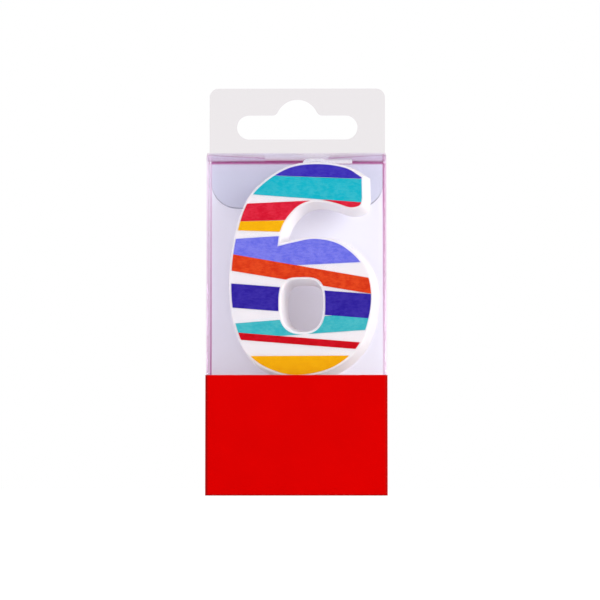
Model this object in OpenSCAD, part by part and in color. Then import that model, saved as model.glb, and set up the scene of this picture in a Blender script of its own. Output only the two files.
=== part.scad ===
// Number candle in its clear folding box, with a hang tab and a red band.
// Millimetres. The origin is under the middle of the box, +Z is up and the front faces -Y.

/* [Numeral] */
// Height of the striped face of the numeral
numeral_h = 54.2; // [45:0.1:65]
// Thickness of the wax from face to back
candle_t = 12; // [9:0.1:16]
// White margin between the stripes and the shoulder of the wax
rim = 0.6; // [0.3:0.05:1]
// How far the mould's draft widens the back beyond the shoulder
draft = 0.85; // [0.3:0.05:1.4]
// Rounding of the front edge
edge_r = 0.35; // [0.2:0.05:0.55]
// Thickness of the printed stripes
print_t = 0.15; // [0.1:0.01:0.3]
// Turn of the candle in its box, seen from above
candle_yaw = -5; // [-7:0.5:7]
// Sideways place of the pick from the middle of the box
candle_x = 2; // [-2:0.1:2.2]

/* [Wick] */
// Diameter of the waxed wick
wick_d = 1; // [0.8:0.05:1.6]
// Length of wick held in the wax
wick_depth = 8; // [5:0.1:10]
// Length of the end that lies over to the right
wick_reach = 12.5; // [8:0.1:14]
// Radius of the bend, on the centre line
wick_bend_r = 1.2; // [1:0.05:2]
// How deep the lying end is pressed into the wax
wick_sink = 0.5; // [0.1:0.05:0.6]
// Sideways place of the wick from the pick
wick_x = 0; // [-1:0.1:3]
// Gap around the wick in the wax
wick_gap = 0.05; // [0.03:0.01:0.1]

/* [Pick] */
// Diameter of the stem under the collar
stem_d = 3.4; // [2.5:0.1:4.5]
// Diameter of the blunt end of the point
tip_d = 0.8; // [0.5:0.1:1.5]
// Diameter of the collar under the wax
collar_d = 8; // [6:0.1:10]
// Thickness of the collar
collar_t = 1; // [0.6:0.1:1.6]
// How deep the collar is seated in the wax
collar_seat = 0.5; // [0.2:0.05:0.55]
// Length of the tang that the wax is cast around
tang_l = 8; // [5:0.1:9]
// Diameter of the tang
tang_d = 2.6; // [2:0.1:3.5]
// How far each barb stands out of the tang
barb = 0.5; // [0.3:0.05:0.8]
// Height of each barb
barb_h = 1.6; // [1:0.1:2]
// Gap between the tip of the pick and the floor of the box
tip_gap = 0.4; // [0.2:0.1:1]
// Gap around the tang in the wax
tang_gap = 0.05; // [0.03:0.01:0.1]

/* [Card support] */
// Height of the card from the floor of the box to its top
card_h = 29.2; // [22:0.1:36]
// Thickness of the card
card_t = 0.5; // [0.3:0.05:0.8]
// Outer radius of its two folds
card_fold_r = 1; // [0.9:0.1:2]
// Gap from the card to the film at the back and to the tucked film in front
card_gap = 0.3; // [0.2:0.05:0.6]
// Gap from each end of the card to the side panel
card_end_gap = 0.6; // [0.3:0.1:1.5]
// Gap around the stem of the pick in the card's hole
stem_gap = 0.25; // [0.15:0.05:0.5]

/* [Box] */
// Thickness of the clear film
film_t = 0.3; // [0.2:0.02:0.4]
// Outer radius of the upright creases
crease_r = 0.7; // [0.5:0.05:1]
// Room between the wax and each side panel, when the candle is in the middle
side_room = 3.45; // [2.6:0.05:6]
// Room between the wax and the front panel
front_room = 1.4; // [0.8:0.1:3]
// Room behind the wax, where the tuck flap swings out
rear_room = 2.6; // [2.4:0.1:5]
// Room between the wick and the dust flaps
head_room = 0.15; // [0.1:0.05:1]

/* [Hang tab] */
// Height of the tab above the lid
tab_h = 19.8; // [18:0.1:26]
// Radius of the tab's top corners
tab_r = 2.4; // [1:0.1:5]
// Length of the euro slot
slot_w = 32; // [26:0.1:34]
// Height of the slot's side lobes
slot_h = 6.4; // [5:0.1:7.5]
// Height of the slot's lower edge above the lid
slot_rise = 6.2; // [4:0.1:7]
// Height of the slot through its hump
hump_h = 10.6; // [9:0.1:11.5]
// Radius of the hump
hump_r = 5.7; // [4.5:0.1:7]
// Radius of the blend between the hump and each lobe
hump_blend_r = 1.6; // [0.5:0.1:2]

/* [Lid and flaps] */
// Gap at each end of the lid
lid_end_gap = 0.2; // [0.1:0.05:0.5]
// Gap between a crease and the flap that turns about it
crease_gap = 0.1; // [0.06:0.01:0.15]
// Depth of the tuck flap below the lid
tuck_l = 12.2; // [8:0.1:13]
// Radius of the tuck flap's lower corners
tuck_r = 5.9; // [3:0.1:6]
// Gap between the tuck flap and the back panel
tuck_gap = 0.5; // [0.45:0.05:1]
// Gap at each end of the tuck flap
tuck_end_gap = 0.6; // [0.3:0.05:1]
// Length of each dust flap
dust_l = 14.8; // [10:0.1:16]
// Gap between a dust flap and the lid
dust_gap = 0.12; // [0.1:0.01:0.3]
// Slope of a dust flap's front edge
dust_taper = 25; // [22:0.5:30]
// Gap between a dust flap's root and the front panel
dust_front = 0.6; // [0.3:0.05:1.5]
// Gap between a dust flap's root and the back panel
dust_back = 4.2; // [4:0.1:6]
// Slope of a dust flap's back edge
dust_back_taper = 8; // [5:0.5:12]
// Radius of a dust flap's free corners
dust_r = 1.2; // [0.5:0.1:2]

/* [Base closure] */
// Length of each flap folded in over the base panel
base_flap_l = 15; // [8:0.1:18]
// Depth of the base panel's tuck behind the front panel
base_tuck_l = 9; // [5:0.1:12]
// Radius of the base tuck's upper corners
base_tuck_r = 4; // [2:0.1:5]
// Gap round the edges of the base panels
base_gap = 0.2; // [0.1:0.05:0.5]
// Width of the glued seam
seam_w = 7; // [5:0.1:8]

/* [Band] */
// Height of the red band's upper edge
band_h = 31.2; // [20:0.1:40]
// Thickness of the band
band_t = 0.2; // [0.1:0.02:0.4]
// Height of the band's lower edge above the floor
band_lift = 0.2; // [0.1:0.05:0.5]

/* [Hidden] */
$fn = 48;
eps = 0.01;

FILM = [0.84, 0.82, 0.92, 0.45];
WAX = [0.97, 0.96, 0.97];
RED = [0.83, 0.01, 0.01];
CARD = [0.95, 0.94, 0.92];

// The striped face as it was drawn: X from the pick, Z from its foot.
// From the terminal's upper corner over the top, down the left side and round the bowl
BACK_OF_SIX = [
    [15.5, 50.9], [11, 53.3], [4, 54.4], [-3, 53.4], [-9.5, 49.5], [-14.3, 44.4],
    [-17.1, 35.2], [-18.4, 24], [-17.2, 12.9], [-12.9, 4.6], [-5.5, 0.5], [1.5, 0],
    [9.2, 2.3], [15.2, 8.3], [17.9, 18.5], [16.4, 27], [10.5, 33.1], [3.5, 35], [-3, 34]
];
// The corner where the bowl leaves the stem
NOTCH = [-6.5, 33.1];
// From the stem up under the arm to the terminal
UNDER_ARM = [
    [-6, 36.8], [-4.35, 40.2], [-1.5, 43.4], [1.8, 44.95], [5.4, 45.1],
    [9, 44.3], [12.5, 43.2], [15, 43.7], [15.6, 45.5]
];
// The eye of the six: middle, half sizes, and how square it is above and below
EYE_AT = [-0.1, 17.6];
EYE_HALF = [6.15, 7.45];
EYE_POWERS = [3.4, 2.5];
EYE_STEPS = 44;
SPAN_STEPS = 5;

// Each stripe is drawn by its upper and its lower edge, from left to right.
NAVY_TOP = [[[-20, 57], [20, 57]], [[-7, 51.7], [15.5, 50.65]]];
NAVY_MID = [[[-18.4, 23.5], [17.8, 20.55]], [[-18, 17.2], [17.3, 14.2]]];
TEAL_TOP = [[[-7, 51.6], [15.5, 50.55]], [[-12.3, 46.75], [15.5, 44.45]]];
TEAL_LOW = [[[-17.2, 13.1], [-5.9, 13.95]], [[4, 10.4], [16.25, 11.2]]];
RED_TOP = [[[-14.1, 44.4], [1.6, 45]], [[-15.9, 39.8], [-4.55, 40]]];
RED_LOW = [[[-16.5, 10.65], [14.75, 8]], [[-15.8, 8.75], [13.6, 6.3]]];
YELLOW_TOP = [[[-16.1, 39.75], [-4.65, 39.9]], [[-16.6, 37.4], [-5.9, 36.95]]];
YELLOW_LOW = [[[-20, 4.55], [20, 4.55]], [[-20, -2], [20, -2]]];
PERIWINKLE = [[[-17.2, 35.2], [-6.3, 35.8]], [[1.2, 28.3], [15.2, 28.85]]];
ORANGE = [[[-17.85, 31.1], [17.1, 24.8]], [[-18.2, 26.8], [17.8, 20.65]]];
STRIPE_END = 24;

// Sizes of the wax that the box is made to fit
drawn_h = max([for (p = BACK_OF_SIX) p[1]]);
drawn_scale = numeral_h / drawn_h;
wax_margin = rim + draft;
wax_left = min([for (p = BACK_OF_SIX) p[0]]) * drawn_scale - wax_margin;
wax_right = max([for (p = BACK_OF_SIX) p[0]]) * drawn_scale + wax_margin;
wax_w = wax_right - wax_left;
candle_run = (candle_t + print_t) * cos(candle_yaw) + wax_w * abs(sin(candle_yaw));

// The box, its inside taken up to a tenth of a millimetre
function tenth(v) = ceil(10 * v) / 10;
inner_w = tenth(wax_w + 2 * side_room);
inner_d = tenth(front_room + candle_run + rear_room);
box_w = inner_w + 2 * film_t;
box_d = inner_d + 2 * film_t;
front_y = -box_d / 2;
back_y = box_d / 2;
front_in = front_y + film_t;
back_in = back_y - film_t;
side_in = inner_w / 2;
floor_z = 2 * film_t;

// Heights from the card up to the lid
card_top = floor_z + card_h;
wax_low = card_top + collar_t - collar_seat;
face_z = wax_low + wax_margin;
wax_top = face_z + numeral_h + rim + draft / 2;
wick_z = wax_top - wick_sink + wick_d / 2;
dust_z = wick_z + wick_d / 2 + head_room + film_t / 2;
lid_z = dust_z + film_t + dust_gap;
box_h = lid_z + film_t / 2;

// The candle stands on the pick's axis, turned by candle_yaw.
forward_corner = abs(candle_yaw < 0 ? wax_right : wax_left) * abs(sin(candle_yaw));
candle_y = front_in + front_room + (candle_t / 2 + print_t) * cos(candle_yaw) + forward_corner;
wax_front = -candle_t / 2;

// Creases that the lid and its flaps turn about
lid_axis_y = front_y + film_t / 2;
tuck_axis_y = back_in - tuck_gap - film_t;
tuck_axis_z = lid_z - film_t / 2;
tuck_w = inner_w - 2 * tuck_end_gap;
dust_axis_x = side_in + film_t / 2;
card_front = front_in + film_t + card_gap;
card_back = back_in - card_gap;

// Curves through hand-set points
function between(a, b, c, d, t) =
    0.5 * (2 * b + (c - a) * t + (2 * a - 5 * b + 4 * c - d) * t * t + (3 * b - a - 3 * c + d) * t * t * t);
function before(p, i) = i > 0 ? p[i - 1] : 2 * p[0] - p[1];
function after(p, i) = i + 2 < len(p) ? p[i + 2] : 2 * p[i + 1] - p[i];
function through(p, n) = [
    for (i = [0 : len(p) - 2], j = [0 : n - 1]) between(before(p, i), p[i], p[i + 1], after(p, i), j / n),
    p[len(p) - 1]
];
function unit(v) = v / norm(v);
function outward(a, b) = unit([b[1] - a[1], a[0] - b[0]]);
function grown(p, e) = let (n = len(p)) [
    for (i = [0 : n - 1]) let (
        u = outward(p[(i + n - 1) % n], p[i]),
        v = outward(p[i], p[(i + 1) % n])
    ) p[i] + e * (u + v) / (1 + u * v)
];
function power(v, p) = sign(v) * pow(abs(v), 2 / p);
function eye(e) = [
    for (i = [0 : EYE_STEPS - 1]) let (
        a = 360 * i / EYE_STEPS,
        p = EYE_POWERS[sin(a) > 0 ? 0 : 1],
        half = drawn_scale * EYE_HALF - [e, e]
    ) drawn_scale * EYE_AT + [half[0] * power(cos(a), p), half[1] * power(sin(a), p)]
];
SIX = drawn_scale * concat(
    through(BACK_OF_SIX, SPAN_STEPS), [NOTCH], through(UNDER_ARM, SPAN_STEPS)
);

// Triangles that fill an outline drawn counter-clockwise, cut off one ear at a time
function turn(a, b, c) = (b[0] - a[0]) * (c[1] - a[1]) - (b[1] - a[1]) * (c[0] - a[0]);
function holds(a, b, c, q) = turn(a, b, q) >= 0 && turn(b, c, q) >= 0 && turn(c, a, q) >= 0;
function is_ear(p, left, i) = let (
    n = len(left),
    a = left[(i + n - 1) % n],
    b = left[i],
    c = left[(i + 1) % n]
) turn(p[a], p[b], p[c]) > 0
    && len([for (k = left) if (k != a && k != b && k != c && holds(p[a], p[b], p[c], p[k])) k]) == 0;
function ear_at(p, left, i) = is_ear(p, left, i) ? i : ear_at(p, left, i + 1);
function ears(p, left) = len(left) == 3 ? [left] : let (
    n = len(left),
    i = ear_at(p, left, 0)
) concat(
    [[left[(i + n - 1) % n], left[i], left[(i + 1) % n]]],
    ears(p, [for (k = [0 : n - 1]) if (k != i) left[k]])
);
function filled(r) = ears([for (q = r) [q[0], q[2]]], [for (i = [0 : len(r) - 1]) i]);

// A solid through rings of points, each ring flat at its own Y, from the front to the back
module loft(rings) {
    n = len(rings[0]);
    last = len(rings) - 1;
    polyhedron(
        points = [for (r = rings) each r],
        faces = [
            for (t = filled(rings[0])) [t[2], t[1], t[0]],
            for (t = filled(rings[last])) [for (i = t) last * n + i],
            for (k = [0 : last - 1], i = [0 : n - 1]) let (j = (i + 1) % n)
                each [
                    [k * n + i, k * n + j, (k + 1) * n + j],
                    [k * n + i, (k + 1) * n + j, (k + 1) * n + i]
                ]
        ]
    );
}

function ring(outline, y) = [for (p = outline) [p[0], y, p[1]]];

// Puts a candle piece, drawn about the pick's axis, at its place in the box.
module in_box() {
    translate([candle_x, candle_y, 0]) rotate([0, 0, candle_yaw]) children();
}

// A plate in the XZ plane, from an outline given as its children
module upright(t) {
    rotate([90, 0, 0]) linear_extrude(height = t, center = true) children();
}

module rounded(w, d, r) {
    square([w - 2 * r, d], center = true);
    square([w, d - 2 * r], center = true);
    for (x = [-1, 1], y = [-1, 1])
        translate([x * (w / 2 - r), y * (d / 2 - r)]) circle(r);
}

// A plate hung from its straight upper edge, with round lower corners
module round_flap(w, l, corner) {
    r = min(corner, l / 2);
    translate([-w / 2, -l + r]) square([w, l - r]);
    translate([-w / 2 + r, -l]) square([w - 2 * r, r]);
    for (x = [-1, 1]) translate([x * (w / 2 - r), -l + r]) circle(r);
}

module nose(l, d) {
    rotate([0, 90, 0]) cylinder(d = d, h = l, center = true);
}

// The box: one folded blank, split at its creases
module front_panel() {
    color(FILM) {
        translate([-box_w / 2 + crease_r, front_y, 0]) cube([box_w - 2 * crease_r, film_t, lid_z]);
        translate([0, lid_axis_y, lid_z]) nose(box_w - 2 * crease_r, film_t);
    }
}

module euro_slot() {
    lobe = slot_h / 2;
    hump_y = hump_h - lobe - hump_r;
    blend_y = lobe + hump_blend_r;
    blend_x = sqrt(pow(hump_r + hump_blend_r, 2) - pow(blend_y - hump_y, 2));
    square([slot_w - slot_h, slot_h], center = true);
    for (x = [-1, 1]) translate([x * (slot_w / 2 - lobe), 0]) circle(lobe);
    intersection() {
        translate([0, hump_y]) circle(hump_r);
        translate([-hump_r, -lobe]) square([2 * hump_r, hump_h]);
    }
    for (side = [0, 1]) mirror([side, 0]) difference() {
        polygon([[0, hump_y], [0, 0], [blend_x, 0], [blend_x, blend_y]]);
        translate([blend_x, blend_y]) circle(hump_blend_r);
    }
}

module back_panel() {
    w = box_w - 2 * crease_r;
    color(FILM) translate([0, back_y - film_t / 2, 0]) upright(film_t) difference() {
        union() {
            translate([-w / 2, film_t]) square([w, box_h - film_t]);
            translate([-box_w / 2, box_h]) square([box_w, tab_h - tab_r]);
            translate([-box_w / 2 + tab_r, box_h]) square([box_w - 2 * tab_r, tab_h]);
            for (x = [-1, 1]) translate([x * (box_w / 2 - tab_r), box_h + tab_h - tab_r]) circle(tab_r);
        }
        translate([0, box_h + slot_rise + slot_h / 2]) euro_slot();
    }
}

// A quarter of a round crease, its centre at the origin, opening toward +X +Y
module crease_profile() {
    intersection() {
        difference() {
            circle(crease_r);
            circle(crease_r - film_t);
        }
        square(crease_r);
    }
}

module right_panel() {
    flat = box_d - 2 * crease_r;
    color(FILM) {
        translate([0, 0, floor_z]) linear_extrude(height = dust_z - floor_z) {
            translate([side_in, -flat / 2]) square([film_t, flat]);
            for (y = [0, 1])
                mirror([0, y]) translate([box_w / 2 - crease_r, flat / 2]) crease_profile();
        }
        translate([dust_axis_x, 0, dust_z]) rotate([0, 0, 90]) nose(flat, film_t);
    }
}

module left_panel() {
    mirror([1, 0, 0]) right_panel();
}

// Glued inside the right panel, along the back crease
module seam_flap() {
    color(FILM) translate([side_in - film_t, back_y - crease_r - seam_w, floor_z + film_t + base_gap])
        cube([film_t, seam_w, dust_z - tuck_l - floor_z - film_t - base_gap]);
}

module base_panel() {
    color(FILM) translate([-box_w / 2 + base_gap, front_in, 0])
        cube([box_w - 2 * base_gap, box_d - film_t, film_t]);
}

module base_tuck() {
    w = inner_w - 2 * base_gap;
    color(FILM) translate([0, front_in + film_t / 2, film_t])
        mirror([0, 0, 1]) upright(film_t) round_flap(w, base_tuck_l, base_tuck_r);
}

module base_flap_right() {
    color(FILM) translate([box_w / 2 - base_gap - base_flap_l, front_in + film_t + base_gap, film_t])
        cube([base_flap_l, inner_d - film_t - 2 * base_gap, film_t]);
}

module base_flap_left() {
    mirror([1, 0, 0]) base_flap_right();
}

// Moving panels of the top. The lid ends in a bead along its inner corner, where the tuck flap folds.
module lid_panel() {
    start = lid_axis_y + film_t / 2 + crease_gap;
    w = box_w - 2 * lid_end_gap;
    color(FILM) {
        translate([-w / 2, start, tuck_axis_z]) cube([w, tuck_axis_y + film_t - start, film_t]);
        translate([0, tuck_axis_y, tuck_axis_z]) nose(tuck_w, film_t);
    }
}

module tuck_flap() {
    drop = film_t / 2 + crease_gap;
    color(FILM) translate([0, tuck_axis_y + film_t / 2, tuck_axis_z - drop]) upright(film_t)
        round_flap(tuck_w, tuck_l - drop, tuck_r);
}

module dust_outline() {
    root = film_t / 2 + crease_gap;
    reach = dust_l - root;
    front = front_in + dust_front;
    back = back_in - dust_back;
    tip_front = front + reach * tan(dust_taper) + dust_r;
    tip_back = back - reach * tan(dust_back_taper) - dust_r;
    polygon([
        [root, front], [dust_l - dust_r, tip_front - dust_r - dust_r * tan(dust_taper)],
        [dust_l - dust_r, tip_front], [dust_l, tip_front], [dust_l, tip_back],
        [dust_l - dust_r, tip_back], [dust_l - dust_r, tip_back + dust_r + dust_r * tan(dust_back_taper)],
        [root, back]
    ]);
    translate([dust_l - dust_r, tip_front]) circle(dust_r);
    translate([dust_l - dust_r, tip_back]) circle(dust_r);
}

module dust_flap_left() {
    color(FILM) translate([-dust_axis_x, 0, dust_z - film_t / 2])
        linear_extrude(height = film_t) dust_outline();
}

module dust_flap_right() {
    mirror([1, 0, 0]) dust_flap_left();
}

// The printed band round the foot of the box
module red_band() {
    color(RED) translate([0, 0, band_lift]) linear_extrude(height = band_h - band_lift) difference() {
        rounded(box_w + 2 * band_t, box_d + 2 * band_t, crease_r + band_t);
        rounded(box_w, box_d, crease_r);
    }
}

// A folded card that carries the candle by the collar of its pick
module card_support() {
    d = card_back - card_front;
    w = inner_w - 2 * card_end_gap;
    mid = (card_front + card_back) / 2;
    color(CARD) difference() {
        translate([0, mid, floor_z]) rotate([90, 0, 90]) linear_extrude(height = w, center = true)
            mirror([0, 1]) difference() {
                round_flap(d, card_h, card_fold_r);
                translate([0, eps]) round_flap(d - 2 * card_t, card_h - card_t + eps, card_fold_r - card_t);
            }
        in_box() translate([0, 0, card_top - card_t - eps])
            cylinder(d = stem_d + 2 * stem_gap, h = card_t + 2 * eps);
    }
}

// The candle
module wick_path() {
    turn_z = wick_z - wick_bend_r;
    translate([wick_x, 0, turn_z - wick_depth]) cylinder(d = wick_d, h = wick_depth);
    translate([wick_x + wick_bend_r, 0, turn_z]) rotate([90, 0, 0]) rotate([0, 0, 90])
        rotate_extrude(angle = 90) translate([wick_bend_r, 0]) circle(d = wick_d);
    translate([wick_x + wick_bend_r, 0, wick_z]) rotate([0, 90, 0])
        cylinder(d = wick_d, h = wick_reach - wick_bend_r);
}

// The bore that the wick is cast in, the well where it bends and the groove that it lies in
module wick_channel() {
    d = wick_d + 2 * wick_gap;
    turn_z = wick_z - wick_bend_r;
    groove_z = wick_z - d / 2;
    translate([wick_x, 0, turn_z - wick_depth - wick_gap]) cylinder(d = d, h = wick_depth + wick_bend_r + d);
    translate([wick_x, -d / 2, turn_z]) cube([wick_bend_r, d, wick_bend_r + d]);
    translate([wick_x, -d / 2, groove_z]) cube([wick_reach + wick_gap, d, 2 * d]);
}

module wick() {
    color(WAX) in_box() wick_path();
}

module tang(gap) {
    d = tang_d + 2 * gap;
    root = wax_low + collar_seat;
    translate([0, 0, root]) cylinder(d = d, h = tang_l + gap);
    for (k = [1, 2])
        translate([0, 0, root + k * tang_l / 3])
            cylinder(d1 = d + 2 * barb, d2 = d, h = barb_h);
}

module cake_pick() {
    tip_z = floor_z + tip_gap;
    color(WAX) in_box() {
        tang(0);
        translate([0, 0, card_top]) cylinder(d = collar_d, h = collar_t);
        translate([0, 0, tip_z]) cylinder(d1 = tip_d, d2 = stem_d, h = card_top - tip_z);
    }
}

module wax_blank() {
    loft([
        ring(grown(SIX, rim - edge_r), wax_front),
        ring(grown(SIX, rim - edge_r * (1 - sin(45))), wax_front + edge_r * (1 - cos(45))),
        ring(grown(SIX, rim), wax_front + edge_r),
        ring(grown(SIX, wax_margin), -wax_front)
    ]);
}

module eye_plug() {
    slope = draft / candle_t;
    loft([
        ring(eye(rim - edge_r - eps), wax_front - eps),
        ring(eye(rim - edge_r), wax_front),
        ring(eye(rim - edge_r * (1 - sin(45))), wax_front + edge_r * (1 - cos(45))),
        ring(eye(rim), wax_front + edge_r),
        ring(eye(wax_margin + slope * eps), -wax_front + eps)
    ]);
}

module wax_body() {
    color(WAX) in_box() difference() {
        translate([0, 0, face_z]) wax_blank();
        translate([0, 0, face_z]) eye_plug();
        wick_channel();
        tang(tang_gap);
        translate([0, 0, wax_low - eps]) cylinder(d = collar_d + 2 * tang_gap, h = collar_seat + eps);
    }
}

// Stripes, printed on the face
function along(edge, x) =
    edge[0][1] + (edge[1][1] - edge[0][1]) * (x - edge[0][0]) / (edge[1][0] - edge[0][0]);

module stripe_area(s) {
    ends = [-STRIPE_END, STRIPE_END];
    polygon(drawn_scale * [
        [ends[0], along(s[0], ends[0])], [ends[0], along(s[1], ends[0])],
        [ends[1], along(s[1], ends[1])], [ends[1], along(s[0], ends[1])]
    ]);
}

module stripe(s, over = []) {
    in_box() translate([0, wax_front - print_t / 2, face_z]) upright(print_t) difference() {
        intersection() {
            difference() {
                polygon(SIX);
                polygon(eye(0));
            }
            stripe_area(s);
        }
        for (o = over) stripe_area(o);
    }
}

module stripes_navy() {
    color([0.2, 0.13, 0.62]) {
        stripe(NAVY_TOP);
        stripe(NAVY_MID);
    }
}

module stripes_teal() {
    color([0.16, 0.75, 0.78]) {
        stripe(TEAL_TOP);
        stripe(TEAL_LOW, [NAVY_MID, RED_LOW]);
    }
}

module stripes_red() {
    color([0.85, 0.09, 0.18]) {
        stripe(RED_TOP, [TEAL_TOP]);
        stripe(RED_LOW);
    }
}

module stripes_yellow() {
    color([0.94, 0.69, 0.03]) {
        stripe(YELLOW_TOP);
        stripe(YELLOW_LOW);
    }
}

module stripe_periwinkle() {
    color([0.44, 0.43, 0.88]) stripe(PERIWINKLE, [ORANGE]);
}

module stripe_orange() {
    color([0.88, 0.26, 0.07]) stripe(ORANGE);
}

front_panel();
back_panel();
left_panel();
right_panel();
seam_flap();
base_panel();
base_tuck();
base_flap_left();
base_flap_right();
lid_panel();
tuck_flap();
dust_flap_left();
dust_flap_right();
red_band();
card_support();
wax_body();
wick();
cake_pick();
stripes_navy();
stripes_teal();
stripes_red();
stripes_yellow();
stripe_periwinkle();
stripe_orange();
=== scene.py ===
"""Number candle in its clear hang box: the looks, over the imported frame.

Sizes are in millimetres until a mesh is made. The floor, the lamps and the camera are in metres.
"""

import math

import bmesh
import bpy
import numpy as np
from mathutils import Matrix, Vector
from mathutils.geometry import tessellate_polygon


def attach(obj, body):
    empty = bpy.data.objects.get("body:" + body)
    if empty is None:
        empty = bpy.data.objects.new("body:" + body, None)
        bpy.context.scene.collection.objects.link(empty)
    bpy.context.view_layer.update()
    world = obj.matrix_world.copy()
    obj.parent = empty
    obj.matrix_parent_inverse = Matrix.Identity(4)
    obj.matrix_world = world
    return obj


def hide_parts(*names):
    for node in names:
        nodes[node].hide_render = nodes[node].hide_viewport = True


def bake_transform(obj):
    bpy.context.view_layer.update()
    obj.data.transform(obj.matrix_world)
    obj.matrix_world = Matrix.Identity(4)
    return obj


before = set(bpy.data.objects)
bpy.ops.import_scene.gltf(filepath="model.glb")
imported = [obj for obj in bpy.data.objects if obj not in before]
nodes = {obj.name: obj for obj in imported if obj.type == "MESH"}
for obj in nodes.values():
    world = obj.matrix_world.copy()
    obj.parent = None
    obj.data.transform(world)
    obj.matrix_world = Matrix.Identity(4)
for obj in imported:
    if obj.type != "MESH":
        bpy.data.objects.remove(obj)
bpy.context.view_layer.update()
MM = 0.001

# The candle, as in the part's source: X and Y of its pick, turn, foot of the striped face, drawing scale,
# front and back of the wax, rim round the stripes, draft, rounded edges and thickness of the ink.
CANDLE_X = 2.0
CANDLE_Y = -0.592675
CANDLE_YAW = math.radians(-5)
FACE_Z = 31.75
DRAWN_SCALE = 54.2 / 54.4
WAX_FRONT = -6.0
WAX_BACK = 6.0
RIM = 0.6
DRAFT = 0.85
EDGE_R = 0.35
BACK_EDGE_R = 0.3
PRINT_T = 0.15

# The box: outer sizes, film, creases, lid, dust flaps and tab. The lid, the dust flaps and the wick stand
# 0.4 mm above the solids, to meet the photograph.
BOX_W = 46.6
BOX_D = 20.2
BOX_H = 88.745
FILM_T = 0.3
CREASE_R = 0.7
LID_Z = 88.595
DUST_Z = 88.175
FOLD_R = 0.3
TAB_TOP = 108.145
TAB_R = 2.4

# The striped face as it is drawn: over the top, down the left side and round the bowl.
BACK_OF_SIX = [
    (15.5, 51), (11.2, 53.5), (4, 54.55), (-3.25, 53.65), (-9.85, 49.8), (-14.4, 44.45),
    (-17.35, 35.25), (-18.6, 24), (-17.4, 12.8), (-13.25, 4.35), (-5.8, 0.25), (1.5, -0.15),
    (9.2, 2.3), (15.2, 8.3), (17.9, 18.5), (16.4, 27), (10.5, 33.1), (3.5, 35), (-3, 34),
]
NOTCH = (-6.5, 33.1)
UNDER_ARM = [
    (-6, 36.8), (-4.35, 40.2), (-1.5, 43.4), (1.8, 44.95), (5.4, 45.1),
    (9, 44.3), (12.5, 43.2), (15, 43.7), (15.6, 45.5),
]
EYE_AT = (-0.1, 17.6)
EYE_HALF = (6.15, 7.45)
EYE_POWERS = (3.4, 2.5)
CURVE_STEPS = 10
EYE_STEPS = 96

# Faces that turn by more than this many degrees meet in a sharp edge.
SHARP_TURN = 32

# Where a noise starts and stops being mixed from the darker to the paler tint.
MOTTLE = (0.35, 0.65)

# Clear film: its tint at steep angles, the painted glow of light along folds, its tint in reflections, the
# share that it mirrors head on and at its steepest, how fast that rises, and the length of the ripples in the
# sheet.
STEEP_TINT = "#fefbff"
PAINTED_FOLD_GLOW = "#d190b8"
MIRROR_TINT = "#f3eeff"
MIRROR = (0.02, 0.6)
STEEP_POWER = 5.0
RIPPLE = 22.22

# The red band's painted shade: where its deeper red starts and where it is full, out to the folds and down to
# the foot.
BAND_SHADE_X = (22.75, 23.15)
BAND_SHADE_Y = (9.6, 10.1)
BAND_FOOT_SHADE = (0.6, 0.3)


def linear(code):
    """The linear RGBA of an sRGB hex colour."""
    channels = [int(code[i:i + 2], 16) / 255 for i in (1, 3, 5)]
    return (*[c / 12.92 if c <= 0.04045 else ((c + 0.055) / 1.055) ** 2.4 for c in channels], 1.0)


def add(tree, kind, inputs=None, **settings):
    """Adds a node with its settings, and sets or links its inputs."""
    node = tree.nodes.new(kind)
    for name, value in settings.items():
        setattr(node, name, value)
    for key, value in (inputs or {}).items():
        if isinstance(value, bpy.types.NodeSocket):
            tree.links.new(value, node.inputs[key])
        else:
            node.inputs[key].default_value = value
    return node


def new_material(name):
    """An empty node material and its output node."""
    material = bpy.data.materials.new(name)
    material.use_nodes = True
    material.node_tree.nodes.clear()
    return material, material.node_tree, add(material.node_tree, "ShaderNodeOutputMaterial")


def show(tree, output, shader):
    """Makes a shader the one that the material shows."""
    tree.links.new(shader.outputs[0], output.inputs["Surface"])


def patches(size):
    """The scale of a noise whose patches are about this many millimetres across."""
    return 1 / (size * MM)


def mottled(tree, size, detail, dark, pale, vector):
    """Two close tints in patches of this many millimetres, as a colour socket."""
    noise = add(tree, "ShaderNodeTexNoise", {"Vector": vector, "Scale": patches(size), "Detail": detail})
    spread = add(tree, "ShaderNodeMapRange", {0: noise.outputs[0], 1: MOTTLE[0], 2: MOTTLE[1]})
    tints = {0: spread.outputs[0], 6: linear(dark), 7: linear(pale)}
    return add(tree, "ShaderNodeMix", tints, data_type="RGBA").outputs[2]


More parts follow.
